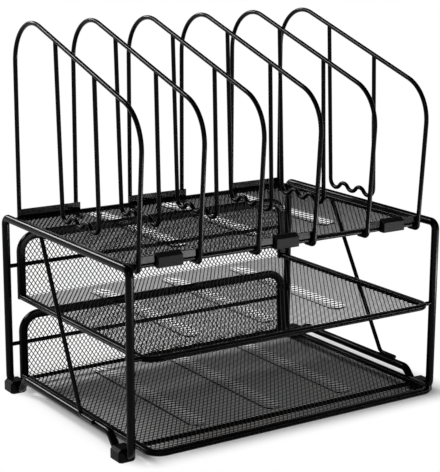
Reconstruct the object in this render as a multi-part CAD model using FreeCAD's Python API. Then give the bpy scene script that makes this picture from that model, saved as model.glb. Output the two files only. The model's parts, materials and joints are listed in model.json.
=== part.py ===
"""Desk organizer of black steel: envelope sorter on top, fixed letter tray, sliding drawer tray.

Millimetres, +Z up, X along the front, Y to the back. The lengths below are set out from the
plane of the front posts and the floor, and every piece is moved by ORIGIN_SHIFT when it is
saved, so that the origin of the part is the middle of its footprint on the floor.
"""
import FreeCAD
import Part
import math
import os

V = FreeCAD.Vector

# ---------------------------------------------------------------- driving dimensions
# side frames: one closed ring of round tube each
FRAME_SPAN = 330.0        # between the middle planes of the two rings
FRAME_DEPTH = 234.0       # front post to rear post
TOP_BAR_Z = 168.6
TUBE_D = 7.4
TOP_BEND_R = 6.5
FOOT_BEND_R = 9.0
RAIL_Z = 17.0             # raised lower bar of the ring, beside the drawer
FOOT_RUN_Z = 5.5          # short lowest run of the ring, inside the foot
FOOT_RUN_LENGTH = 24.5
RAIL_START = 35.5         # where the lower bar has reached RAIL_Z

# plastic feet round the lowest runs
FOOT_OUTWARD = 9.0
FOOT_INWARD = 7.6
FOOT_NEAR = 3.6           # from the post's plane
FOOT_FAR = 22.4
FOOT_HEIGHT = 12.0
FOOT_CHAMFER = 2.6

# wires
WIRE_D = 4.0
BACK_WIRE_UPPER_Z = 121.0
BACK_WIRE_LOWER_Z = 43.4
BASE_WIRE_Z = 5.8         # the drawer's rim runs just above these two
BASE_WIRE_FRONT_Y = 20.0
BACK_WIRE_INSET = 0.9     # its middle, in front of the rear posts' middle

# diagonal braces, from the top bars to the outer sides of the lower bars
BRACE_TOP_Y = 161.0
BRACE_FOOT_Y = 79.5
BRACE_TAB = 22.0
BRACE_BEND_R = 6.0
BRACE_TURN = 35.0         # degrees above level, where its foot lies on the lower bar
BRACE_TOP_DROP = 1.0      # its upper end, below the middle of the top bar

# rolled rims that border the mesh sheets
RIM_WIDTH = 6.0           # of the shelf's rim
RIM_HEIGHT = 4.2
TRAY_RIM_WIDTH = 6.6      # of the rim round a tray's floor
TRAY_RIM_HEIGHT = 4.8
BACK_RIM_WIDTH = 8.0      # of the rim round a tray's back
BACK_RIM_DEPTH = 5.0
RIM_ROUND = 1.4
SHEET = 0.8
SHEET_IN_RIM = 1.6
SHELF_SHEET_DROP = 1.6    # middle of the shelf's sheet, below the top of its rim
SHARP = 0.01              # radius of a corner that is left square

# top shelf
SHELF_FRONT_Y = 14.5
SHELF_REAR_Y = 227.4
SHELF_RIM_Z = 166.9
SHELF_CORNER_R = 7.0

# middle tray (fixed)
TRAY_HALF_WIDTH = 156.6
TRAY_FRONT_Y = -10.5
TRAY_RIM_Z = 90.9
TRAY_BACK_TOP_Z = 154.0
TRAY_CORNER_R = 12.5      # of the rim's middle line, seen from above
BACK_CORNER_R = 16.0      # of the back rim's middle line, seen from the front
SHEET_CORNER_R = 14.0     # of the back wall's sheet
FOLD_R = 3.0

# drawer tray (slides)
DRAWER_HALF_WIDTH = 156.6
DRAWER_FRONT_Y = -21.0
DRAWER_RIM_Z = 11.5
DRAWER_BACK_TOP_Z = 75.6
DRAWER_BACK_GAP = 0.6     # to the rear wire when the drawer is shut

# dividers: six wire loops, joined in three pairs
DIVIDER_PITCH = 60.47
LOOP_D = 4.2
LOOP_FRONT_Y = 9.4        # foot of the front leg
LOOP_REAR_Y = 232.5
LOOP_HOOK = 12.0
LOOP_HOOK_R = 4.0
LOOP_SHOULDER_Y = 0.4     # where front leg and slope would meet
LOOP_SHOULDER_Z = 292.4
LOOP_SLOPE = 0.3259
LOOP_SHOULDER_R = 39.0
LOOP_TOP_R = 39.0

# inner wire that hangs in each loop, with a wavy lower edge
INNER_REAR_TOP_Y = 150.8
INNER_REAR_LOW_Y = 143.3
INNER_FRONT_TOP_Y = 80.4
INNER_FRONT_LOW_Y = 75.7
INNER_LOW_Z = 190.0
INNER_D = 4.0
WAVE_PITCH = 25.2
WAVE_HEIGHT = 5.5
WAVE_TROUGH_Z = 181.5
WAVE_BEND_R = 8.4

# flat bars that join a pair and stand on the shelf's rims, and the clip over the front one
PLATE_T = 1.5
FRONT_BAR_TOP_Z = 174.8
REAR_BAR_TOP_Z = 175.6
REAR_BAR_OVERHANG = 3.0
CLIP_WIDTH = 24.4
CLIP_FRONT_Y = 7.0
CLIP_DEPTH = 6.6
CLIP_FACE_TOP_Z = 173.4
CLIP_TOP_Z = 176.1
CLIP_LIP = 0.8            # under the rim
CLIP_EDGE_R = 0.6

# ---------------------------------------------------------------- derived
TUBE_R = TUBE_D / 2
WIRE_R = WIRE_D / 2
LOOP_R = LOOP_D / 2
HALF_SPAN = FRAME_SPAN / 2
TUBE_INNER_X = HALF_SPAN - TUBE_R
ORIGIN_SHIFT = V(0, -(DRAWER_FRONT_Y + FRAME_DEPTH + TUBE_R) / 2, 0)
BACK_WIRE_Y = FRAME_DEPTH - BACK_WIRE_INSET
SHELF_RIM_TOP_Z = SHELF_RIM_Z + RIM_HEIGHT / 2
SHELF_RIM_BOTTOM_Z = SHELF_RIM_Z - RIM_HEIGHT / 2
LOOP_HOOK_Z = SHELF_RIM_BOTTOM_Z - LOOP_D / 2
TRAY_BACK_Y = BACK_WIRE_Y - WIRE_R - BACK_RIM_DEPTH / 2
DRAWER_BACK_Y = TRAY_BACK_Y - DRAWER_BACK_GAP
DIVIDER_X = [DIVIDER_PITCH * (i - 2.5) for i in range(6)]
SIDES = {"left": -1, "right": 1}


# ---------------------------------------------------------------- building blocks
def bent_path(corners, radii, closed=False):
    """Straight runs between corners, each corner rounded by a tangent arc of its radius."""
    count = len(corners)
    arcs = []
    for i, corner in enumerate(corners):
        if not closed and i in (0, count - 1):
            arcs.append((corner, None, corner))
            continue
        back = (corners[i - 1] - corner).normalize()
        ahead = (corners[(i + 1) % count] - corner).normalize()
        half = back.getAngle(ahead) / 2
        reach = radii[i] / math.tan(half)
        middle = (back + ahead).normalize()
        nearest = corner + middle * (radii[i] / math.sin(half) - radii[i])
        arcs.append((corner + back * reach, nearest, corner + ahead * reach))
    edges = []
    for i, (start, nearest, end) in enumerate(arcs):
        if nearest is not None:
            edges.append(Part.Arc(start, nearest, end).toShape())
        if closed or i < count - 1:
            following = arcs[(i + 1) % count][0]
            edges.append(Part.LineSegment(end, following).toShape())
    return Part.Wire(edges)


def path_start(path):
    """First point of a path and its direction there."""
    edge = path.OrderedEdges[0]
    point = path.OrderedVertexes[0].Point
    ends = [edge.FirstParameter, edge.LastParameter]
    at_first = edge.valueAt(ends[0]).distanceToPoint(point) < 1e-6
    tangent = edge.tangentAt(ends[0]) if at_first else edge.tangentAt(ends[1]) * -1
    return point, tangent.normalize()


def rod(corners, radii, radius, closed=False):
    """Round bar bent along corners."""
    path = bent_path(corners, radii, closed)
    point, direction = path_start(path)
    ring = Part.Wire(Part.makeCircle(radius, point, direction))
    return solid_of(path.makePipeShell([ring], True, False))


def straight_rod(start, end, radius):
    return Part.makeCylinder(radius, start.distanceToPoint(end), start, end - start)


def solid_of(shape):
    """The one outward-facing solid of a swept or joined shape."""
    solid = shape if isinstance(shape, Part.Solid) else shape.Solids[0]
    if solid.Volume < 0:
        solid.reverse()
    return solid


def rounded_section(point, direction, across, width, height):
    """Closed outline of a bar section with rounded corners, square to direction."""
    up = direction.cross(across).normalize()
    halves = [(width / 2, height / 2), (-width / 2, height / 2),
              (-width / 2, -height / 2), (width / 2, -height / 2)]
    corners = [point + across * a + up * b for a, b in halves]
    return bent_path(corners, [RIM_ROUND] * 4, closed=True)


def rim_bar(corners, radii, normal, width, height):
    """Rolled rim swept along corners that lie in a plane: its width is in that plane."""
    path = bent_path(corners, radii)
    point, direction = path_start(path)
    across = direction.cross(normal).normalize()
    section = rounded_section(point, direction, across, width, height)
    return solid_of(path.makePipeShell([section], True, False))


def rounded_plate(corners, radii, thickness):
    """Flat plate from its outline, thickened to both sides."""
    face = Part.Face(bent_path(corners, radii, closed=True))
    normal = face.normalAt(0, 0)
    face.translate(normal * (-thickness / 2))
    return face.extrude(normal * thickness)


def box_between(low, high):
    size = high - low
    return Part.makeBox(size.x, size.y, size.z, low)


def save(name, shape):
    """One STEP per node, in the frame of the part."""
    moved = shape.copy()
    moved.translate(ORIGIN_SHIFT)
    moved.exportStep("parts/" + name + ".step")
    print(name, "solids", len(moved.Solids), "valid", moved.isValid(), "mm3", round(moved.Volume))


# ---------------------------------------------------------------- side frames
def side_ring(x):
    """Closed tube ring: posts, top bar, and a lower bar raised between the two feet."""
    d = FRAME_DEPTH
    outline = [
        (d / 2, TOP_BAR_Z, None),
        (d, TOP_BAR_Z, TOP_BEND_R),
        (d, FOOT_RUN_Z, FOOT_BEND_R),
        (d - FOOT_RUN_LENGTH, FOOT_RUN_Z, FOOT_BEND_R),
        (d - RAIL_START, RAIL_Z, FOOT_BEND_R),
        (RAIL_START, RAIL_Z, FOOT_BEND_R),
        (FOOT_RUN_LENGTH, FOOT_RUN_Z, FOOT_BEND_R),
        (0, FOOT_RUN_Z, FOOT_BEND_R),
        (0, TOP_BAR_Z, TOP_BEND_R),
    ]
    corners = [V(x, y, z) for y, z, r in outline]
    radii = [r for y, z, r in outline]
    # the ring is swept as an open bar that starts and ends in the middle of the top bar
    return rod(corners + corners[:1], radii + [None], TUBE_R)


def foot(side, rear):
    """Bevelled plastic block round the lowest run, bored for the tube and the base wire."""
    near, far = FOOT_NEAR, FOOT_FAR
    if rear:
        near, far = FRAME_DEPTH - FOOT_FAR, FRAME_DEPTH - FOOT_NEAR
    across = sorted([side * (HALF_SPAN + FOOT_OUTWARD), side * (HALF_SPAN - FOOT_INWARD)])
    block = box_between(V(across[0], near, 0), V(across[1], far, FOOT_HEIGHT))
    upper = [e for e in block.Edges if e.BoundBox.ZMin > FOOT_HEIGHT / 2]
    upright = [e for e in block.Edges if e.BoundBox.ZLength > FOOT_HEIGHT / 2]
    block = block.makeChamfer(FOOT_CHAMFER, upper + upright)
    lower = [e for e in block.Edges if e.BoundBox.ZMax < 1e-6]
    return block.makeChamfer(FOOT_CHAMFER / 2, lower)


def brace(side):
    """Diagonal wire from under the top bar, turned along the lower bar's outer side at its foot."""
    turn = math.radians(BRACE_TURN)
    x = side * (HALF_SPAN + (TUBE_R + WIRE_R) * math.cos(turn))
    z = RAIL_Z + (TUBE_R + WIRE_R) * math.sin(turn)
    corners = [V(side * HALF_SPAN, BRACE_TOP_Y, TOP_BAR_Z - BRACE_TOP_DROP), V(x, BRACE_FOOT_Y, z),
               V(x, BRACE_FOOT_Y - BRACE_TAB, z)]
    return rod(corners, [None, BRACE_BEND_R, None], WIRE_R)


def cross_frame_wire(y, z):
    """Straight wire from one ring to the other."""
    reach = TUBE_INNER_X + TUBE_R / 2
    return straight_rod(V(-reach, y, z), V(reach, y, z), WIRE_R)


# ---------------------------------------------------------------- shelf and trays
def shelf_outline(grow=0.0):
    x = TUBE_INNER_X - RIM_WIDTH / 2 + grow
    front, rear = SHELF_FRONT_Y - grow, SHELF_REAR_Y + grow
    return [V(-x, front, SHELF_RIM_Z), V(x, front, SHELF_RIM_Z),
            V(x, rear, SHELF_RIM_Z), V(-x, rear, SHELF_RIM_Z)]


def shelf_rim():
    corners = shelf_outline()
    middle = (corners[0] + corners[1]) / 2
    path = [middle] + corners[1:] + corners[:1] + [middle]
    return rim_bar(path, [None] + [SHELF_CORNER_R] * 4 + [None], V(0, 0, 1), RIM_WIDTH, RIM_HEIGHT)


def shelf_mesh():
    grow = SHEET_IN_RIM - RIM_WIDTH / 2
    sheet = rounded_plate(shelf_outline(grow), [SHELF_CORNER_R + grow] * 4, SHEET)
    sheet.translate(V(0, 0, RIM_HEIGHT / 2 - SHELF_SHEET_DROP))
    return sheet


class Tray:
    """Mesh sheet folded up at the back, with a rolled rim round the floor and round the back."""

    def __init__(self, half_width, front_y, back_y, rim_z, top_z):
        self.x = half_width - TRAY_RIM_WIDTH / 2
        self.back_x = half_width - BACK_RIM_WIDTH / 2
        self.front = front_y + TRAY_RIM_WIDTH / 2
        self.back = back_y
        self.rim_z = rim_z
        self.top = top_z - BACK_RIM_WIDTH / 2

    def floor_rim(self):
        """U seen from above: two sides and the front."""
        end = self.back - BACK_RIM_DEPTH / 2
        corners = [V(-self.x, end, self.rim_z), V(-self.x, self.front, self.rim_z),
                   V(self.x, self.front, self.rim_z), V(self.x, end, self.rim_z)]
        return rim_bar(corners, [None, TRAY_CORNER_R, TRAY_CORNER_R, None], V(0, 0, 1),
                       TRAY_RIM_WIDTH, TRAY_RIM_HEIGHT)

    def back_rim(self):
        """U upside down, seen from the front."""
        x, foot_z = self.back_x, self.rim_z - TRAY_RIM_HEIGHT / 2
        corners = [V(-x, self.back, foot_z), V(-x, self.back, self.top),
                   V(x, self.back, self.top), V(x, self.back, foot_z)]
        return rim_bar(corners, [None, BACK_CORNER_R, BACK_CORNER_R, None], V(0, 1, 0),
                       BACK_RIM_WIDTH, BACK_RIM_DEPTH)

    def mesh(self):
        """Floor and back wall of one sheet, with a round fold between them."""
        grow = SHEET_IN_RIM - TRAY_RIM_WIDTH / 2
        x = self.x + grow
        fold = FOLD_R + SHEET / 2
        fold_y = self.back - fold
        fold_z = self.rim_z + fold
        floor = rounded_plate(
            [V(-x, fold_y, self.rim_z), V(-x, self.front - grow, self.rim_z),
             V(x, self.front - grow, self.rim_z), V(x, fold_y, self.rim_z)],
            [SHARP, TRAY_CORNER_R + grow, TRAY_CORNER_R + grow, SHARP], SHEET)
        top = self.top + SHEET_IN_RIM - BACK_RIM_WIDTH / 2
        wall = rounded_plate(
            [V(-x, self.back, fold_z), V(-x, self.back, top),
             V(x, self.back, top), V(x, self.back, fold_z)],
            [SHARP, SHEET_CORNER_R, SHEET_CORNER_R, SHARP], SHEET)
        start = V(-x, fold_y, fold_z)
        bend = Part.makeCylinder(FOLD_R + SHEET, 2 * x, start, V(1, 0, 0))
        bend = bend.cut(Part.makeCylinder(FOLD_R, 2 * x, start, V(1, 0, 0)))
        quarter = box_between(V(-x, fold_y, fold_z - 2 * fold), V(x, fold_y + 2 * fold, fold_z))
        return solid_of(floor.multiFuse([wall, bend.common(quarter)]).removeSplitter())


def tray_lug(side):
    """Short pin from the front post to the rim of the fixed tray."""
    z = TRAY_RIM_Z
    return straight_rod(V(side * (HALF_SPAN - TUBE_R / 2), 0, z),
                        V(side * (TRAY_HALF_WIDTH - TRAY_CORNER_R / 2), 0, z), WIRE_R)


# ---------------------------------------------------------------- dividers
def slope_z(y):
    return LOOP_SHOULDER_Z + LOOP_SLOPE * (y - LOOP_SHOULDER_Y)


def divider_loop(x):
    """Loop of wire: hooked under both shelf rims, upright rear leg, slope down to the front."""
    corners = [
        V(x, LOOP_FRONT_Y + LOOP_HOOK, LOOP_HOOK_Z),
        V(x, LOOP_FRONT_Y, LOOP_HOOK_Z),
        V(x, LOOP_SHOULDER_Y, LOOP_SHOULDER_Z),
        V(x, LOOP_REAR_Y, slope_z(LOOP_REAR_Y)),
        V(x, LOOP_REAR_Y, LOOP_HOOK_Z),
        V(x, LOOP_REAR_Y - LOOP_HOOK, LOOP_HOOK_Z),
    ]
    radii = [None, LOOP_HOOK_R, LOOP_SHOULDER_R, LOOP_TOP_R, LOOP_HOOK_R, None]
    return rod(corners, radii, LOOP_R)


def on_leg(top_y, low_y, z):
    """Y of an inner wire's leaning leg at height z."""
    top_z = slope_z(top_y)
    return low_y + (top_y - low_y) * (z - INNER_LOW_Z) / (top_z - INNER_LOW_Z)


def inner_wire(x):
    """Two legs that hang from the slope, joined by a wavy lower edge."""
    half = WAVE_PITCH / 2
    lean = 2 * math.atan(WAVE_HEIGHT / half)
    rise = half * math.tan(lean)
    over = WAVE_BEND_R * (1 / math.cos(lean) - 1)
    high_z = WAVE_TROUGH_Z + WAVE_HEIGHT + over
    low_z = high_z - rise
    middle = (INNER_FRONT_LOW_Y + INNER_REAR_LOW_Y) / 2
    first, last = middle - half, middle + half
    # the outer slopes of the wave run on until they meet the line of each leg
    rear_z = high_z - (on_leg(INNER_REAR_TOP_Y, INNER_REAR_LOW_Y, low_z) - last) * math.tan(lean)
    front_z = high_z - (first - on_leg(INNER_FRONT_TOP_Y, INNER_FRONT_LOW_Y, low_z)) * math.tan(lean)
    rear_y = on_leg(INNER_REAR_TOP_Y, INNER_REAR_LOW_Y, rear_z)
    front_y = on_leg(INNER_FRONT_TOP_Y, INNER_FRONT_LOW_Y, front_z)
    corners = [
        V(x, INNER_REAR_TOP_Y, slope_z(INNER_REAR_TOP_Y)),
        V(x, rear_y, rear_z),
        V(x, last, high_z),
        V(x, middle, low_z),
        V(x, first, high_z),
        V(x, front_y, front_z),
        V(x, INNER_FRONT_TOP_Y, slope_z(INNER_FRONT_TOP_Y)),
    ]
    return rod(corners, [None] + [WAVE_BEND_R] * 5 + [None], INNER_D / 2)


def leg_y(z):
    """Middle of the front leg at height z."""
    run = (z - LOOP_HOOK_Z) / (LOOP_SHOULDER_Z - LOOP_HOOK_Z)
    return LOOP_FRONT_Y + (LOOP_SHOULDER_Y - LOOP_FRONT_Y) * run


def front_bar(left_x, right_x):
    """Flat bar behind the two front legs, standing on the front rim of the shelf."""
    y = leg_y(FRONT_BAR_TOP_Z) + LOOP_R
    return box_between(V(left_x, y, SHELF_RIM_TOP_Z), V(right_x, y + PLATE_T, FRONT_BAR_TOP_Z))


def rear_bar(left_x, right_x):
    """Flat bar before the two rear legs, standing on the rear rim of the shelf."""
    y = LOOP_REAR_Y - LOOP_R
    return box_between(V(left_x - REAR_BAR_OVERHANG, y - PLATE_T, SHELF_RIM_TOP_Z),
                       V(right_x + REAR_BAR_OVERHANG, y, REAR_BAR_TOP_Z))


def shelf_clip(x, bar, rim):
    """Moulded clip round the front bar and the rim below it: its top slopes up to the back."""
    front, back = CLIP_FRONT_Y, CLIP_FRONT_Y + CLIP_DEPTH
    bottom = SHELF_RIM_BOTTOM_Z - CLIP_LIP
    left = x - CLIP_WIDTH / 2
    outline = [V(left, front, bottom), V(left, front, CLIP_FACE_TOP_Z),
               V(left, back - PLATE_T, CLIP_TOP_Z), V(left, back, CLIP_TOP_Z), V(left, back, bottom)]
    block = Part.Face(Part.makePolygon(outline + outline[:1])).extrude(V(CLIP_WIDTH, 0, 0))
    block = block.makeFillet(CLIP_EDGE_R, [e for e in block.Edges if e.BoundBox.YMax < back - PLATE_T / 2])
    return solid_of(block.cut(bar).cut(rim))


# ---------------------------------------------------------------- the whole part
def build_frame():
    wires = {
        "back_wire_upper": cross_frame_wire(BACK_WIRE_Y, BACK_WIRE_UPPER_Z),
        "back_wire_lower": cross_frame_wire(BACK_WIRE_Y, BACK_WIRE_LOWER_Z),
        "base_wire_rear": cross_frame_wire(BACK_WIRE_Y, BASE_WIRE_Z),
        "base_wire_front": cross_frame_wire(BASE_WIRE_FRONT_Y, BASE_WIRE_Z),
    }
    rings = {name: side_ring(side * HALF_SPAN) for name, side in SIDES.items()}
    for name, ring in rings.items():
        save("side_frame_" + name, ring)
        save("brace_" + name, solid_of(brace(SIDES[name]).cut(ring)))
    for name, wire in wires.items():
        save(name, solid_of(wire.cut(rings["left"]).cut(rings["right"])))
    for name, side in SIDES.items():
        for rear, place in ((False, "front"), (True, "rear")):
            block = foot(side, rear).cut(rings[name])
            for base in ("base_wire_front", "base_wire_rear"):
                block = block.cut(wires[base])
            save("foot_" + place + "_" + name, solid_of(block))
    return rings


def build_tray(tray, name):
    """Saves mesh and rims, and returns the floor rim."""
    mesh = tray.mesh()
    back = solid_of(tray.back_rim().cut(mesh))
    rim = solid_of(tray.floor_rim().cut(mesh).cut(back))
    save(name + "_mesh", mesh)
    save(name + "_back_rim", back)
    save(name + "_floor_rim", rim)
    return rim


def build_shelf():
    """Saves the sheet and its rim, and returns the rim."""
    mesh = shelf_mesh()
    rim = solid_of(shelf_rim().cut(mesh))
    save("shelf_mesh", mesh)
    save("shelf_rim", rim)
    return rim


def build_dividers(rim):
    loops = [divider_loop(x) for x in DIVIDER_X]
    for i, (x, loop) in enumerate(zip(DIVIDER_X, loops), start=1):
        save("divider_loop_" + str(i), loop)
        save("divider_inner_wire_" + str(i), solid_of(inner_wire(x).cut(loop)))
    for pair in range(3):
        left_x, right_x = DIVIDER_X[2 * pair], DIVIDER_X[2 * pair + 1]
        number = str(pair + 1)
        # the legs lean, so the bar is let into them a little
        bar = solid_of(front_bar(left_x, right_x).cut(loops[2 * pair]).cut(loops[2 * pair + 1]))
        save("divider_front_bar_" + number, bar)
        save("divider_rear_bar_" + number, rear_bar(left_x, right_x))
        save("shelf_clip_" + number, shelf_clip((left_x + right_x) / 2, bar, rim))


def main():
    os.makedirs("parts", exist_ok=True)
    rings = build_frame()
    shelf_frame = build_shelf()
    fixed = Tray(TRAY_HALF_WIDTH, TRAY_FRONT_Y, TRAY_BACK_Y, TRAY_RIM_Z, TRAY_BACK_TOP_Z)
    fixed_rim = build_tray(fixed, "middle_tray")
    for name, side in SIDES.items():
        lug = tray_lug(side).cut(rings[name]).cut(fixed_rim)
        outer = max(lug.Solids, key=lambda s: abs(s.CenterOfMass.x))
        save("tray_lug_" + name, outer)
    drawer = Tray(DRAWER_HALF_WIDTH, DRAWER_FRONT_Y, DRAWER_BACK_Y, DRAWER_RIM_Z, DRAWER_BACK_TOP_Z)
    build_tray(drawer, "drawer")
    build_dividers(shelf_frame)


main()
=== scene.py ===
"""Black steel desk organizer: wire envelope dividers on a mesh shelf, a fixed tray and a sliding one.

The steel tubes, wires, bars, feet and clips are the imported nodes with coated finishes. The three
sheets are built here as open expanded mesh, with the strip that is rolled round their edges.
"""

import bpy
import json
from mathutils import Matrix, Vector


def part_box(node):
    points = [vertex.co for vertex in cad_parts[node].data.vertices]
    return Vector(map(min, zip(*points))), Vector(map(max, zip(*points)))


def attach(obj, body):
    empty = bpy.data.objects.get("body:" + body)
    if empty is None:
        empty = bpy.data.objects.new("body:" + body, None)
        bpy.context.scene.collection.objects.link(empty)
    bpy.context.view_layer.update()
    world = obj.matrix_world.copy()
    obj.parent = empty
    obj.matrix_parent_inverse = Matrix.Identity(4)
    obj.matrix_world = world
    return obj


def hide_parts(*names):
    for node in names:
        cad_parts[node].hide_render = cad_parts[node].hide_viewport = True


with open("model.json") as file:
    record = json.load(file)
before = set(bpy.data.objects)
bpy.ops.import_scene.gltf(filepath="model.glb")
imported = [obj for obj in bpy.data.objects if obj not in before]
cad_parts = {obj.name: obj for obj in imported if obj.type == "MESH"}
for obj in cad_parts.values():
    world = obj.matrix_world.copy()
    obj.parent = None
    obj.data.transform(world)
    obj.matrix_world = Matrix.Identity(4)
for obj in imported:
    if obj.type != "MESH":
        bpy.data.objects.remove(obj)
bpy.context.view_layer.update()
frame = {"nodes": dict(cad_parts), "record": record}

import json
import logging
import math
from collections.abc import Callable
from dataclasses import dataclass, field
from enum import Enum

import bpy
import numpy as np
from mathutils import Matrix, Vector

LOG = logging.getLogger("desk_organizer")
MM = 0.001
Array = np.ndarray
Place = Callable[[Array, Array, Array], Array]
UP = np.array([0.0, 0.0, 1.0])
BACKWARD = np.array([0.0, 1.0, 0.0])
SHARP_ANGLE = 40.0           # degrees, above which an edge is shaded sharp
MERGE_STEPS = 1e3            # per millimetre: corners of cells that round to one step are one


class Slot(Enum):
    """Material slots of the record."""

    STEEL = "coated_steel"
    MESH = "coated_mesh"
    FOOT = "foot_plastic"
    CLIP = "clip_plastic"


class Body(Enum):
    """Bodies that pieces ride on."""

    FRAME = "frame"
    DRAWER = "drawer"


# ---------------------------------------------------------------- surfaces in numpy
def new_mesh(name: str, points: Array, face_sets: list[Array]) -> bpy.types.Object:
    """Puts points and faces into a mesh object at the origin.

    Args:
        name: name of the piece.
        points: N x 3 places in metres.
        face_sets: arrays of corner numbers, each M x 3 or M x 4.

    Returns:
        The linked object, shaded smooth except over sharp edges.
    """
    mesh = bpy.data.meshes.new(name)
    mesh.vertices.add(len(points))
    mesh.vertices.foreach_set("co", np.asarray(points, np.float32).ravel())
    sizes = np.concatenate([np.full(len(f), f.shape[1]) for f in face_sets])
    corners = np.concatenate([f.ravel() for f in face_sets])
    starts = np.concatenate([[0], np.cumsum(sizes)[:-1]])
    mesh.loops.add(len(corners))
    mesh.loops.foreach_set("vertex_index", corners.astype(np.int32))
    mesh.polygons.add(len(sizes))
    mesh.polygons.foreach_set("loop_start", starts.astype(np.int32))
    mesh.polygons.foreach_set("use_smooth", np.ones(len(sizes), bool))
    mesh.update(calc_edges=True)
    mesh.validate()
    mesh.set_sharp_from_angle(angle=math.radians(SHARP_ANGLE))
    obj = bpy.data.objects.new(name, mesh)
    bpy.context.scene.collection.objects.link(obj)
    return obj


def rounded_path(corners: Array, radii: list[float], closed: bool = False, steps: int = 12) -> Array:
    """Points of a line of straight runs joined by tangent arcs.

    An arc's centre lies on the bisector of its corner, at the radius divided by the sine of
    half the angle there, and its points turn round it in equal angles.

    Args:
        corners: N x 3 corners.
        radii: the arc's radius at each corner, 0 for a plain point.
        closed: whether the line comes back to its first corner.
        steps: spans in each arc.

    Returns:
        M x 3 points.
    """
    runs = []
    count = len(corners)
    for i, (corner, radius) in enumerate(zip(corners, radii)):
        if radius == 0 or (not closed and i in (0, count - 1)):
            runs.append(corner[None, :])
            continue
        back = corners[i - 1] - corner
        ahead = corners[(i + 1) % count] - corner
        back, ahead = back / np.linalg.norm(back), ahead / np.linalg.norm(ahead)
        half = math.acos(float(np.clip(back @ ahead, -1, 1))) / 2
        middle = (back + ahead) / np.linalg.norm(back + ahead)
        across = (ahead - back) / np.linalg.norm(ahead - back)
        centre = corner + middle * radius / math.sin(half)
        angle = np.linspace(half - math.pi / 2, math.pi / 2 - half, steps + 1)[:, None]
        runs.append(centre + radius * (across * np.sin(angle) - middle * np.cos(angle)))
    return np.concatenate(runs)


def swept(name: str, path: Array, normal: Array, profile: Array, closed: bool) -> bpy.types.Object:
    """A closed profile carried along a flat line.

    Point (i, j) is path point i, plus the profile's first coordinate times the outward side
    (direction x normal), plus its second coordinate times the normal. At a bend the side is
    the mean of both runs' sides, stretched so that the bar keeps its width.

    Args:
        name: name of the piece.
        path: N x 3 points in one plane, in metres.
        normal: unit normal of that plane.
        profile: M x 2 points, counterclockwise, in metres.
        closed: whether the path is a ring.

    Returns:
        The object.
    """
    if closed:
        ahead = np.roll(path, -1, axis=0) - path
        back = np.roll(ahead, 1, axis=0)
    else:
        spans = np.diff(path, axis=0)
        ahead = np.vstack([spans, spans[-1:]])
        back = np.vstack([spans[:1], spans])
    sides = [np.cross(d / np.linalg.norm(d, axis=1, keepdims=True), normal) for d in (back, ahead)]
    mean = (sides[0] + sides[1]) / 2
    side = mean / (mean * mean).sum(axis=1, keepdims=True)
    grid = (path[:, None, :] + side[:, None, :] * profile[None, :, :1]
            + normal[None, None, :] * profile[None, :, 1:])
    rows, columns = grid.shape[:2]
    i, j = np.meshgrid(np.arange(rows if closed else rows - 1), np.arange(columns), indexing="ij")
    following, beside = (i + 1) % rows, (j + 1) % columns
    faces = np.stack([i * columns + j, following * columns + j,
                      following * columns + beside, i * columns + beside], axis=-1).reshape(-1, 4)
    points = grid.reshape(-1, 3)
    if closed:
        return new_mesh(name, points, [faces])
    j = np.arange(columns)
    beside = (j + 1) % columns
    last = (rows - 1) * columns
    ends = np.stack([path[0], path[-1]])
    caps = [np.stack([j, beside, np.full(columns, len(points))], axis=1),
            np.stack([last + beside, last + j, np.full(columns, len(points) + 1)], axis=1)]
    return new_mesh(name, np.vstack([points, ends]), [faces, np.vstack(caps)])


@dataclass(frozen=True)
class RolledStrip:
    """Strip that is rolled round the edge of a sheet: two lips with a crease on the outside."""

    width: float = 6.0
    height: float = 4.2
    edge: float = 1.5
    crease: float = 0.95
    crease_at: float = 0.25
    crease_width: float = 0.42
    lip: float = 0.7
    lip_width: float = 0.5
    arc_points: int = 7
    face_points: int = 9

    def profile(self) -> Array:
        """Outline of the strip's section, in metres.

        A rounded rectangle whose outer side is dented by a bell curve round the crease, and
        whose inner side is dented where the sheet enters between the lips.

        Returns:
            M x 2 points, counterclockwise: outward, then up.
        """
        a, b, r = self.width / 2, self.height / 2, self.edge
        turn = np.linspace(0, math.pi / 2, self.arc_points)
        face = np.linspace(r - b, b - r, self.face_points + 2)[1:-1]
        arcs = [np.stack([x + r * np.cos(turn + t), y + r * np.sin(turn + t)], axis=1)
                for x, y, t in ((a - r, b - r, 0), (r - a, b - r, math.pi / 2),
                                (r - a, r - b, math.pi), (a - r, r - b, 1.5 * math.pi))]
        inner = np.stack([np.full(self.face_points, -a), -face], axis=1)
        outer = np.stack([np.full(self.face_points, a), face], axis=1)
        outline = np.vstack([arcs[0], arcs[1], inner, arcs[2], arcs[3], outer])
        dent = self.crease * np.exp(-((outline[:, 1] - self.crease_at) / self.crease_width) ** 2)
        slot = self.lip * np.exp(-((outline[:, 1] / self.lip_width) ** 2))
        outline[:, 0] += np.where(outline[:, 0] > 0, -dent, slot)
        return outline * MM


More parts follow.
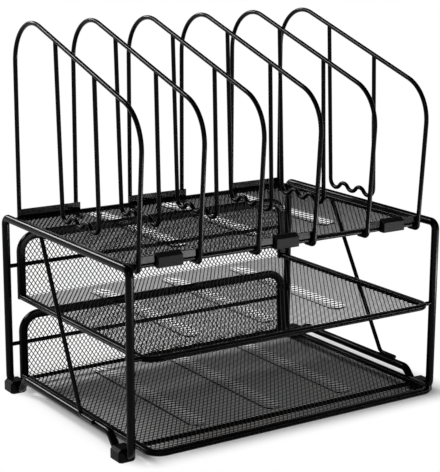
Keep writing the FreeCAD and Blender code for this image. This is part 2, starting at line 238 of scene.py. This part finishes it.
@dataclass(frozen=True)
class Weave:
    """Expanded steel: six-sided openings in staggered rows, each strand a little twisted.

    Sizes are in millimetres. At a bond the opening is drawn in by bond_share times a strand.
    """

    across: float = 4.45
    along: float = 6.37
    bond: float = 0.12
    strand: float = 0.70
    bond_share: float = 0.75
    thickness: float = 0.5
    twist: float = 0.1
    lean: float = 0.1

    def tile(self) -> Array:
        """Six corners of the area round one opening, counterclockwise."""
        x, low, high = self.across / 2, self.bond, self.along / 2 - self.bond
        return np.array([(x, -low), (x, low), (0, high), (-x, low), (-x, -low), (0, -high)])

    def opening(self) -> Array:
        """Six corners of the opening: the tile, drawn in by half a strand, or more at a bond."""
        x, low, high = self.across / 2, self.bond, self.along / 2 - self.bond
        slope = (high - low) / x
        side = x - self.bond_share * self.strand
        top = high - self.strand / 2 * math.hypot(1, slope)
        corner = top - slope * side
        return np.array([(side, -corner), (side, corner), (0, top),
                         (-side, corner), (-side, -corner), (0, -top)])

    def cells(self, low: Array, high: Array) -> Array:
        """Middles of the openings in a rectangle.

        Args:
            low: least distance across and along, in millimetres.
            high: greatest ones.

        Returns:
            N x 2 middles, in staggered rows half a cell apart.
        """
        rows = np.arange(math.floor(2 * low[1] / self.along), math.ceil(2 * high[1] / self.along) + 1)
        columns = np.arange(math.floor(low[0] / self.across) - 1, math.ceil(high[0] / self.across) + 1)
        j, i = np.meshgrid(rows, columns, indexing="ij")
        return np.stack([(i + (j % 2) / 2) * self.across, j * self.along / 2], axis=-1).reshape(-1, 2)


@dataclass(frozen=True)
class Channels:
    """Shallow round-ended channels pressed into a sheet from front to back, to stiffen it."""

    middles: tuple[float, ...] = (-81.0, 0.0, 81.0)
    half_width: float = 11.0
    wall: float = 8.0
    depth: float = 3.0
    front_inset: float = 38.0
    rear_inset: float = 12.0

    def drop(self, across: Array, along: Array, length: float) -> Array:
        """Depth of the sheet's pressing at each point.

        The distance to a channel's middle line, counted in from its edge and divided by the
        wall's width, is smoothed by 3 t^2 - 2 t^3.

        Args:
            across: distances from the sheet's middle, in millimetres.
            along: distances from its front edge.
            length: the sheet's length up to its fold or rear edge.

        Returns:
            Depths in millimetres.
        """
        ends = (self.front_inset + self.half_width, length - self.rear_inset - self.half_width)
        beyond = along - np.clip(along, *ends)
        total = np.zeros_like(across)
        for middle in self.middles:
            inside = self.half_width - np.hypot(across - middle, beyond)
            t = np.clip(inside / self.wall, 0, 1)
            total += self.depth * t * t * (3 - 2 * t)
        return total


def open_sheet(name: str, weave: Weave, cells: Array, place: Place) -> bpy.types.Object:
    """Open mesh sheet with real strands.

    Each cell gives six quads between its tile and its opening, shared corners are joined, the
    sheet is doubled at both faces of its thickness, and every free edge gets a wall.

    Args:
        name: name of the piece.
        weave: sizes of the mesh.
        cells: N x 2 middles of the openings, in millimetres.
        place: takes distances across, along and above the sheet, and gives N x 3 places in metres.

    Returns:
        The object.
    """
    tiles = (cells[:, None, :] + weave.tile()[None]).reshape(-1, 2)
    _, first, number = np.unique(np.round(tiles * MERGE_STEPS).astype(np.int64), axis=0,
                                 return_index=True, return_inverse=True)
    number = number.reshape(-1, 6)
    knots = tiles[first]
    hole = weave.opening()
    holes = (cells[:, None, :] + hole[None]).reshape(-1, 2)
    tilt = np.tile(weave.twist * hole[:, 0] / hole[0, 0] - weave.lean * hole[:, 1] / hole[2, 1], len(cells))
    flat = np.vstack([knots, holes])
    height = np.concatenate([np.zeros(len(knots)), tilt])
    inner = len(knots) + np.arange(len(holes)).reshape(-1, 6)
    quads = np.stack([number, np.roll(number, -1, axis=1), np.roll(inner, -1, axis=1), inner],
                     axis=-1).reshape(-1, 4)
    count = len(flat)
    edges = np.stack([quads, np.roll(quads, -1, axis=1)], axis=-1).reshape(-1, 2)
    code, reverse = edges[:, 0] * count + edges[:, 1], edges[:, 1] * count + edges[:, 0]
    free = edges[~np.isin(code, reverse)]
    walls = np.stack([free[:, 1], free[:, 0], free[:, 0] + count, free[:, 1] + count], axis=1)
    half = weave.thickness / 2
    points = np.vstack([place(flat[:, 0], flat[:, 1], height + half),
                        place(flat[:, 0], flat[:, 1], height - half)])
    return new_mesh(name, points, [quads, quads[:, ::-1] + count, walls])


def inside_rounded(across: Array, along: Array, half_width: float, low: float, high: float,
                   low_radius: float, high_radius: float) -> Array:
    """Whether points lie in a rectangle with rounded corners.

    Args:
        across: distances from its middle line.
        along: distances along it.
        half_width: half its width.
        low: its near edge.
        high: its far edge.
        low_radius: radius of the near corners, 0 where they are square.
        high_radius: radius of the far corners.

    Returns:
        True where a point is inside.
    """
    inside = (np.abs(across) <= half_width) & (along >= low) & (along <= high)
    for edge, radius, way in ((low, low_radius, 1), (high, high_radius, -1)):
        x = np.abs(across) - (half_width - radius)
        y = radius - way * (along - edge)
        inside &= ~((x > 0) & (y > 0) & (np.hypot(x, y) > radius))
    return inside


# ---------------------------------------------------------------- finishes
GRAIN_DETAIL = 2.0
PATCH_DETAIL = 3.0
GRAIN_SHARE = 0.35           # of the fine grain in the change of shade
SHADE_FROM, SHADE_TO = 0.45, 0.9
BUMP_STRENGTH = 0.6


def coat_group() -> bpy.types.NodeTree:
    """Node group of a sprayed or moulded skin.

    A fine noise gives the grain, a wide one the slow change of shade and gloss.

    Returns:
        The group, with colour, roughness and height outputs.
    """
    group = bpy.data.node_groups.new("coated_skin", "ShaderNodeTree")
    face = group.interface
    for name, kind, value in (("Vector", "NodeSocketVector", None),
                              ("Grain Scale", "NodeSocketFloat", 900.0),
                              ("Patch Scale", "NodeSocketFloat", 30.0),
                              ("Dark", "NodeSocketColor", (0.01, 0.01, 0.01, 1)),
                              ("Light", "NodeSocketColor", (0.02, 0.02, 0.02, 1)),
                              ("Rough Low", "NodeSocketFloat", 0.3),
                              ("Rough High", "NodeSocketFloat", 0.45)):
        socket = face.new_socket(name=name, in_out="INPUT", socket_type=kind)
        if value is not None:
            socket.default_value = value
    for name, kind in (("Color", "NodeSocketColor"), ("Roughness", "NodeSocketFloat"),
                       ("Height", "NodeSocketFloat")):
        face.new_socket(name=name, in_out="OUTPUT", socket_type=kind)
    nodes, links = group.nodes, group.links
    inputs, outputs = nodes.new("NodeGroupInput"), nodes.new("NodeGroupOutput")
    grain, patch = nodes.new("ShaderNodeTexNoise"), nodes.new("ShaderNodeTexNoise")
    grain.inputs["Detail"].default_value = GRAIN_DETAIL
    patch.inputs["Detail"].default_value = PATCH_DETAIL
    blend = nodes.new("ShaderNodeMath")
    blend.operation = "MULTIPLY_ADD"
    blend.inputs[1].default_value = GRAIN_SHARE
    spread = nodes.new("ShaderNodeMapRange")
    spread.inputs["From Min"].default_value = SHADE_FROM
    spread.inputs["From Max"].default_value = SHADE_TO
    mix = nodes.new("ShaderNodeMix")
    mix.data_type = "RGBA"
    gloss = nodes.new("ShaderNodeMapRange")
    for node, scale in ((grain, "Grain Scale"), (patch, "Patch Scale")):
        links.new(inputs.outputs["Vector"], node.inputs["Vector"])
        links.new(inputs.outputs[scale], node.inputs["Scale"])
    links.new(grain.outputs["Fac"], blend.inputs[0])
    links.new(patch.outputs["Fac"], blend.inputs[2])
    links.new(blend.outputs[0], spread.inputs["Value"])
    links.new(spread.outputs["Result"], mix.inputs["Factor"])
    links.new(inputs.outputs["Dark"], mix.inputs["A"])
    links.new(inputs.outputs["Light"], mix.inputs["B"])
    links.new(patch.outputs["Fac"], gloss.inputs["Value"])
    links.new(inputs.outputs["Rough Low"], gloss.inputs["To Min"])
    links.new(inputs.outputs["Rough High"], gloss.inputs["To Max"])
    links.new(mix.outputs["Result"], outputs.inputs["Color"])
    links.new(gloss.outputs["Result"], outputs.inputs["Roughness"])
    links.new(grain.outputs["Fac"], outputs.inputs["Height"])
    return group


@dataclass(frozen=True)
class Finish:
    """One skin of the organizer, as a procedural material.

    Colour runs from dark to light and roughness over gloss. Grain and patch are noise scales,
    and relief is the height of the grain in metres.
    """

    name: str
    slot: Slot
    dark: tuple[float, float, float]
    light: tuple[float, float, float]
    gloss: tuple[float, float]
    grain: float
    patch: float
    relief: float
    specular: float

    def build(self, group: bpy.types.NodeTree) -> bpy.types.Material:
        """Makes the material.

        Args:
            group: the shared skin group.

        Returns:
            The material, which reads Object coordinates.
        """
        material = bpy.data.materials.new(self.name)
        material.use_nodes = True
        nodes, links = material.node_tree.nodes, material.node_tree.links
        shader = nodes["Principled BSDF"]
        place = nodes.new("ShaderNodeTexCoord")
        skin = nodes.new("ShaderNodeGroup")
        skin.node_tree = group
        bump = nodes.new("ShaderNodeBump")
        skin.inputs["Grain Scale"].default_value = self.grain
        skin.inputs["Patch Scale"].default_value = self.patch
        skin.inputs["Dark"].default_value = (*self.dark, 1)
        skin.inputs["Light"].default_value = (*self.light, 1)
        skin.inputs["Rough Low"].default_value = self.gloss[0]
        skin.inputs["Rough High"].default_value = self.gloss[1]
        bump.inputs["Distance"].default_value = self.relief
        bump.inputs["Strength"].default_value = BUMP_STRENGTH
        shader.inputs["Specular IOR Level"].default_value = self.specular
        links.new(place.outputs["Object"], skin.inputs["Vector"])
        links.new(skin.outputs["Color"], shader.inputs["Base Color"])
        links.new(skin.outputs["Roughness"], shader.inputs["Roughness"])
        links.new(skin.outputs["Height"], bump.inputs["Height"])
        links.new(bump.outputs["Normal"], shader.inputs["Normal"])
        return material


FINISHES = (
    Finish(name="black_powder_coat", slot=Slot.STEEL,
           dark=(0.0006, 0.0006, 0.0006), light=(0.0014, 0.0013, 0.0013),
           gloss=(0.17, 0.25), grain=1100.0, patch=35.0, relief=0.000008, specular=0.06),
    Finish(name="black_mesh_coat", slot=Slot.MESH,
           dark=(0.0012, 0.0010, 0.0009), light=(0.0026, 0.0023, 0.0021),
           gloss=(0.34, 0.46), grain=1300.0, patch=40.0, relief=0.00001, specular=0.03),
    Finish(name="black_foot_plastic", slot=Slot.FOOT,
           dark=(0.0008, 0.0008, 0.0008), light=(0.0018, 0.0018, 0.0018),
           gloss=(0.28, 0.38), grain=1500.0, patch=60.0, relief=0.00004, specular=0.05),
    Finish(name="black_clip_plastic", slot=Slot.CLIP,
           dark=(0.005, 0.005, 0.005), light=(0.010, 0.0096, 0.0096),
           gloss=(0.38, 0.50), grain=1700.0, patch=70.0, relief=0.00003, specular=0.045),
)


@dataclass
class Paintbox:
    """The finished materials, by slot."""

    materials: dict[Slot, bpy.types.Material] = field(default_factory=dict)

    def __post_init__(self) -> None:
        """Builds every finish once, round the one shared group."""
        group = coat_group()
        for finish in FINISHES:
            self.materials[finish.slot] = finish.build(group)

    def dress(self, obj: bpy.types.Object, slot: Slot) -> None:
        """Gives an object one finish.

        Args:
            obj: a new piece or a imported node.
            slot: its slot in the record.
        """
        if not obj.material_slots:
            obj.data.materials.append(None)
        for held in obj.material_slots:
            held.material = self.materials[slot]

    def new_piece(self, obj: bpy.types.Object, slot: Slot, body: Body, nodes: list[str]) -> None:
        """Dresses a new piece, lets it ride and puts it in its nodes' place.

        Args:
            obj: the piece.
            slot: its slot in the record.
            body: the body it moves with.
            nodes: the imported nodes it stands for.
        """
        self.dress(obj, slot)
        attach(obj, body.value)
        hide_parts(*nodes)
        LOG.info("piece %s: %d faces on %s", obj.name, len(obj.data.polygons), body.value)


# ---------------------------------------------------------------- sub-assemblies
@dataclass
class MeshTray:
    """Mesh sheet folded up at the back, with a rolled strip round its floor and its back."""

    name: str
    body: Body
    corner: float = 12.5
    back_corner: float = 16.0
    fold: float = 3.4
    strip: RolledStrip = field(default_factory=lambda: RolledStrip(width=6.6, height=4.8))
    back_edge: RolledStrip = field(default_factory=lambda: RolledStrip(width=8.0, height=5.0, crease=0.3))
    weave: Weave = field(default_factory=Weave)
    channels: Channels = field(default_factory=Channels)

    def __post_init__(self) -> None:
        """Reads where the rims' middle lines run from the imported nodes, in millimetres."""
        low, high = (np.array(c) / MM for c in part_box(self.name + "_floor_rim"))
        back_low, back_high = (np.array(c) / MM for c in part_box(self.name + "_back_rim"))
        self.half = high[0] - self.strip.width / 2
        self.front = low[1] + self.strip.width / 2
        self.level = (low[2] + high[2]) / 2
        self.back = (back_low[1] + back_high[1]) / 2
        self.end = high[1]
        self.foot = back_low[2]
        self.back_half = back_high[0] - self.back_edge.width / 2
        self.top = back_high[2] - self.back_edge.width / 2
        self.floor_length = self.back - self.fold - self.front
        self.bend_length = self.fold * math.pi / 2

    def place(self, across: Array, along: Array, above: Array) -> Array:
        """Lays the flat sheet into its folded shape.

        Up to the fold a point is as far back as it is along the sheet. In the fold it turns
        round the fold's axis by its distance over the radius, and after it the point climbs.
        A channel lowers the floor.

        Args:
            across: distances from the middle, in millimetres.
            along: distances from the front rim's middle line.
            above: distances from the sheet's middle surface, towards its upper or front face.

        Returns:
            N x 3 places in metres.
        """
        into = along - self.floor_length
        angle = np.clip(into, 0, self.bend_length) / self.fold
        climb = np.clip(into - self.bend_length, 0, None)
        above = above - self.channels.drop(across, along, self.floor_length)
        radius = self.fold - above
        y = self.front + np.minimum(along, self.floor_length) + radius * np.sin(angle)
        z = self.level + self.fold - radius * np.cos(angle) + climb
        return np.stack([across, y, z], axis=1) * MM

    def sheets(self) -> list[bpy.types.Object]:
        """The floor and the back wall, as two pieces that meet where the fold begins."""
        total = self.floor_length + self.bend_length + self.top - self.level - self.fold
        cells = self.weave.cells(np.array([-self.half, 0.0]), np.array([self.half, total]))
        keep = inside_rounded(cells[:, 0], cells[:, 1], self.half, 0.0, total,
                              self.corner, self.back_corner)
        floor = cells[:, 1] < self.floor_length
        return [open_sheet(self.name + "_floor_sheet", self.weave, cells[keep & floor], self.place),
                open_sheet(self.name + "_back_sheet", self.weave, cells[keep & ~floor], self.place)]

    def floor_strip(self) -> bpy.types.Object:
        """Strip round the sides and the front of the floor."""
        x, y, z = self.half, self.front, self.level
        corners = np.array([(-x, self.end, z), (-x, y, z), (x, y, z), (x, self.end, z)])
        path = rounded_path(corners, [0, self.corner, self.corner, 0]) * MM
        return swept(self.name + "_floor_strip", path, UP, self.strip.profile(), closed=False)

    def back_strip(self) -> bpy.types.Object:
        """Strip round the sides and the top of the back wall."""
        x, y = self.back_half, self.back
        corners = np.array([(-x, y, self.foot), (-x, y, self.top), (x, y, self.top), (x, y, self.foot)])
        path = rounded_path(corners, [0, self.back_corner, self.back_corner, 0]) * MM
        return swept(self.name + "_back_strip", path, BACKWARD, self.back_edge.profile(), closed=False)

    def build(self, paints: Paintbox) -> None:
        """Builds and dresses the tray.

        Args:
            paints: the finishes.
        """
        for sheet in self.sheets():
            paints.new_piece(sheet, Slot.MESH, self.body, [self.name + "_mesh"])
        paints.new_piece(self.floor_strip(), Slot.STEEL, self.body, [self.name + "_floor_rim"])
        paints.new_piece(self.back_strip(), Slot.STEEL, self.body, [self.name + "_back_rim"])


@dataclass
class MeshShelf:
    """Flat mesh sheet of the top shelf, in a rolled strip."""

    corner: float = 7.0
    sheet_rise: float = 0.5
    strip: RolledStrip = field(default_factory=lambda: RolledStrip(crease=0.25, crease_at=0.9))
    weave: Weave = field(default_factory=lambda: Weave(lean=0.17))
    channels: Channels = field(default_factory=Channels)

    def __post_init__(self) -> None:
        """Reads where the rim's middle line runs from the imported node, in millimetres."""
        low, high = (np.array(c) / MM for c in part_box("shelf_rim"))
        inset = self.strip.width / 2
        self.half, self.front, self.rear = high[0] - inset, low[1] + inset, high[1] - inset
        self.level = (low[2] + high[2]) / 2

    def place(self, across: Array, along: Array, above: Array) -> Array:
        """Lays the flat sheet on the shelf, lowered in its channels.

        Args:
            across: distances from the middle, in millimetres.
            along: distances from the front rim's middle line.
            above: distances from the sheet's middle surface.

        Returns:
            N x 3 places in metres.
        """
        drop = self.channels.drop(across, along, self.rear - self.front)
        return np.stack([across, self.front + along, self.level + self.sheet_rise + above - drop],
                        axis=1) * MM

    def build(self, paints: Paintbox) -> None:
        """Builds and dresses the shelf.

        Args:
            paints: the finishes.
        """
        length = self.rear - self.front
        cells = self.weave.cells(np.array([-self.half, 0.0]), np.array([self.half, length]))
        keep = inside_rounded(cells[:, 0], cells[:, 1], self.half, 0.0, length,
                              self.corner, self.corner)
        sheet = open_sheet("shelf_sheet", self.weave, cells[keep], self.place)
        paints.new_piece(sheet, Slot.MESH, Body.FRAME, ["shelf_mesh"])
        x, z = self.half, self.level
        corners = np.array([(-x, self.front, z), (x, self.front, z), (x, self.rear, z), (-x, self.rear, z)])
        path = rounded_path(corners, [self.corner] * 4, closed=True) * MM
        strip = swept("shelf_strip", path, UP, self.strip.profile(), closed=True)
        paints.new_piece(strip, Slot.STEEL, Body.FRAME, ["shelf_rim"])


@dataclass
class PackedNodes:
    """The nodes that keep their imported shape: tubes, wires, bars, feet and clips."""

    def dress(self, paints: Paintbox) -> None:
        """Gives each shown node the finish that the record names for it.

        Args:
            paints: the finishes.
        """
        for part in frame["record"]["subparts"]:
            node = frame["nodes"][part["node"]]
            if node.hide_render:
                continue
            paints.dress(node, Slot(part["material_slot"]))
            LOG.info("node %s dressed as %s", node.name, part["material_slot"])


# ---------------------------------------------------------------- studio
@dataclass(frozen=True)
class Lamp:
    """A soft lamp: where it hangs, its width and height, its power and what it faces.

    The spread is the angle of the cone that it lights, in degrees.
    """

    name: str
    place: tuple[float, float, float]
    size: tuple[float, float]
    watts: float
    spread: float = 180.0
    target: tuple[float, float, float] = (0.0, 0.0, 0.17)

    def hang(self) -> None:
        """Puts the lamp into the scene, unseen by the camera."""
        data = bpy.data.lights.new(self.name, "AREA")
        data.shape = "RECTANGLE"
        data.size, data.size_y = self.size
        data.energy = self.watts
        data.spread = math.radians(self.spread)
        lamp = bpy.data.objects.new(self.name, data)
        lamp.location = self.place
        aim = Vector(self.target) - Vector(self.place)
        lamp.rotation_euler = aim.to_track_quat("-Z", "Y").to_euler()
        lamp.visible_camera = False
        bpy.context.scene.collection.objects.link(lamp)


LAMPS = (
    Lamp("front_lamp", place=(-1.2, -1.8, 1.5), size=(1.0, 0.7), watts=9.0),
    # lies on the floor in front of the organizer and lights the upright posts and wires
    Lamp("low_lamp", place=(0.32, -0.48, 0.02), size=(1.0, 0.035), watts=0.9,
         spread=56.0, target=(0.0, -0.12, 0.2)),
    # the two behind draw the bright lines along the side frames and the sloping wires
    Lamp("back_lamp", place=(-0.55, 1.75, 1.15), size=(0.6, 0.4), watts=22.0),
    Lamp("side_lamp", place=(-1.2, 1.45, 1.75), size=(0.5, 0.5), watts=46.0),
)


@dataclass
class Studio:
    """Floor, surround, lamps and camera, in metres and degrees.

    Within the footprint the floor shows its real shade, and over shade_reach beyond it the
    shade gives way to floor_glow. The surround is white up to horizon_low, and fades to
    surround_top at horizon_high, both as the upward part of the direction looked in.
    """

    camera_at: tuple[float, float, float] = (-0.743022, -1.117638, 0.471588)
    heading: float = 33.437
    pitch: float = -13.280
    roll: float = 0.266
    lens: float = 112.2
    sensor: float = 36.0
    clip: tuple[float, float] = (0.05, 200.0)
    floor_colour: tuple[float, float, float, float] = (0.86, 0.86, 0.86, 1)
    floor_roughness: float = 0.9
    floor_radius: float = 40.0
    floor_sides: int = 64
    footprint: tuple[float, float] = (0.152, 0.118)
    footprint_middle: tuple[float, float] = (0.014, 0.022)
    shade_reach: float = 0.04
    floor_glow: float = 1.0
    surround_light: float = 0.12
    surround_top: float = 0.05
    horizon_low: float = 0.12
    horizon_high: float = 0.24

    def camera(self) -> None:
        """Sets the camera. Its heading turns from +Y towards +X."""
        yaw, tilt, roll = (math.radians(a) for a in (self.heading, self.pitch, self.roll))
        ahead = Vector((math.sin(yaw) * math.cos(tilt), math.cos(yaw) * math.cos(tilt), math.sin(tilt)))
        level = Vector((math.cos(yaw), -math.sin(yaw), 0.0))
        upright = level.cross(ahead)
        right = level * math.cos(roll) + upright * math.sin(roll)
        up = upright * math.cos(roll) - level * math.sin(roll)
        data = bpy.data.cameras.new("studio_camera")
        data.lens = self.lens
        data.sensor_width = self.sensor
        data.sensor_fit = "AUTO"
        data.clip_start, data.clip_end = self.clip
        camera = bpy.data.objects.new("studio_camera", data)
        turn = Matrix((right, up, -ahead)).transposed().to_4x4()
        camera.matrix_world = Matrix.Translation(self.camera_at) @ turn
        bpy.context.scene.collection.objects.link(camera)
        bpy.context.scene.camera = camera

    def floor(self) -> None:
        """Pale round floor: white to the eye, with the shadow of the object kept on it."""
        angle = np.linspace(0, 2 * math.pi, self.floor_sides, endpoint=False)
        ring = np.stack([np.cos(angle), np.sin(angle), np.zeros(self.floor_sides)], axis=1)
        points = np.vstack([ring * self.floor_radius, np.zeros((1, 3))])
        j = np.arange(self.floor_sides)
        faces = np.stack([j, (j + 1) % self.floor_sides, np.full(self.floor_sides, self.floor_sides)], axis=1)
        floor = new_mesh("studio_floor", points, [faces])
        material = bpy.data.materials.new("studio_floor")
        material.use_nodes = True
        nodes, links = material.node_tree.nodes, material.node_tree.links
        shader = nodes["Principled BSDF"]
        shader.inputs["Base Color"].default_value = self.floor_colour
        shader.inputs["Roughness"].default_value = self.floor_roughness
        shader.inputs["Specular IOR Level"].default_value = 0.0
        glow = nodes.new("ShaderNodeEmission")
        glow.inputs["Strength"].default_value = 1.0
        mix = nodes.new("ShaderNodeMixShader")
        place = nodes.new("ShaderNodeTexCoord")
        link = place.outputs["Object"]
        for operation, operand in (("SUBTRACT", (*self.footprint_middle, 0.0)), ("ABSOLUTE", None),
                                   ("SUBTRACT", (*self.footprint, 0.0)),
                                   ("MAXIMUM", (0.0, 0.0, 0.0)), ("LENGTH", None)):
            step = nodes.new("ShaderNodeVectorMath")
            step.operation = operation
            links.new(link, step.inputs[0])
            if operand is not None:
                step.inputs[1].default_value = operand
            link = step.outputs["Value" if operation == "LENGTH" else "Vector"]
        spread = nodes.new("ShaderNodeMapRange")
        spread.interpolation_type = "SMOOTHSTEP"
        spread.inputs["From Max"].default_value = self.shade_reach
        spread.inputs["To Max"].default_value = self.floor_glow
        share = nodes.new("ShaderNodeMath")
        share.operation = "MULTIPLY"
        links.new(link, spread.inputs["Value"])
        links.new(spread.outputs["Result"], share.inputs[1])
        links.new(self.seen_rays(nodes, links), share.inputs[0])
        links.new(share.outputs[0], mix.inputs[0])
        links.new(shader.outputs[0], mix.inputs[1])
        links.new(glow.outputs[0], mix.inputs[2])
        links.new(mix.outputs[0], nodes["Material Output"].inputs["Surface"])
        floor.data.materials.append(material)

    @staticmethod
    def seen_rays(nodes: bpy.types.Nodes, links: bpy.types.NodeLinks) -> bpy.types.NodeSocket:
        """1 for rays that show the background: camera, glossy and transmission.

        Args:
            nodes: nodes of the tree.
            links: its links.

        Returns:
            The socket.
        """
        path = nodes.new("ShaderNodeLightPath")
        total = path.outputs["Is Camera Ray"]
        for name in ("Is Glossy Ray", "Is Transmission Ray"):
            more = nodes.new("ShaderNodeMath")
            more.operation = "MAXIMUM"
            links.new(total, more.inputs[0])
            links.new(path.outputs[name], more.inputs[1])
            total = more.outputs[0]
        return total

    def surround(self) -> None:
        """White surround to the eye, and a softer one as light."""
        world = bpy.data.worlds.new("studio_surround")
        bpy.context.scene.world = world
        world.use_nodes = True
        nodes, links = world.node_tree.nodes, world.node_tree.links
        background = nodes["Background"]
        way = nodes.new("ShaderNodeTexCoord")
        parts = nodes.new("ShaderNodeSeparateXYZ")
        shade = nodes.new("ShaderNodeMapRange")
        shade.interpolation_type = "SMOOTHSTEP"
        shade.inputs["From Min"].default_value = self.horizon_low
        shade.inputs["From Max"].default_value = self.horizon_high
        shade.inputs["To Min"].default_value = 1.0
        shade.inputs["To Max"].default_value = self.surround_top
        links.new(way.outputs["Generated"], parts.inputs[0])
        links.new(parts.outputs["Z"], shade.inputs["Value"])
        strength = nodes.new("ShaderNodeMix")
        strength.inputs["A"].default_value = self.surround_light
        links.new(shade.outputs["Result"], strength.inputs["B"])
        links.new(self.seen_rays(nodes, links), strength.inputs["Factor"])
        links.new(strength.outputs["Result"], background.inputs["Strength"])
        background.inputs["Color"].default_value = (1, 1, 1, 1)

    def build(self) -> None:
        """Sets up the whole studio."""
        self.camera()
        self.floor()
        self.surround()
        for lamp in LAMPS:
            lamp.hang()
        bpy.context.scene.view_settings.view_transform = "Standard"


def main() -> None:
    """Builds the organizer and its studio."""
    logging.basicConfig(level=logging.INFO, format="%(message)s")
    paints = Paintbox()
    MeshShelf().build(paints)
    MeshTray("middle_tray", Body.FRAME).build(paints)
    MeshTray("drawer", Body.DRAWER).build(paints)
    PackedNodes().dress(paints)
    Studio().build()


if __name__ == "__main__":
    main()
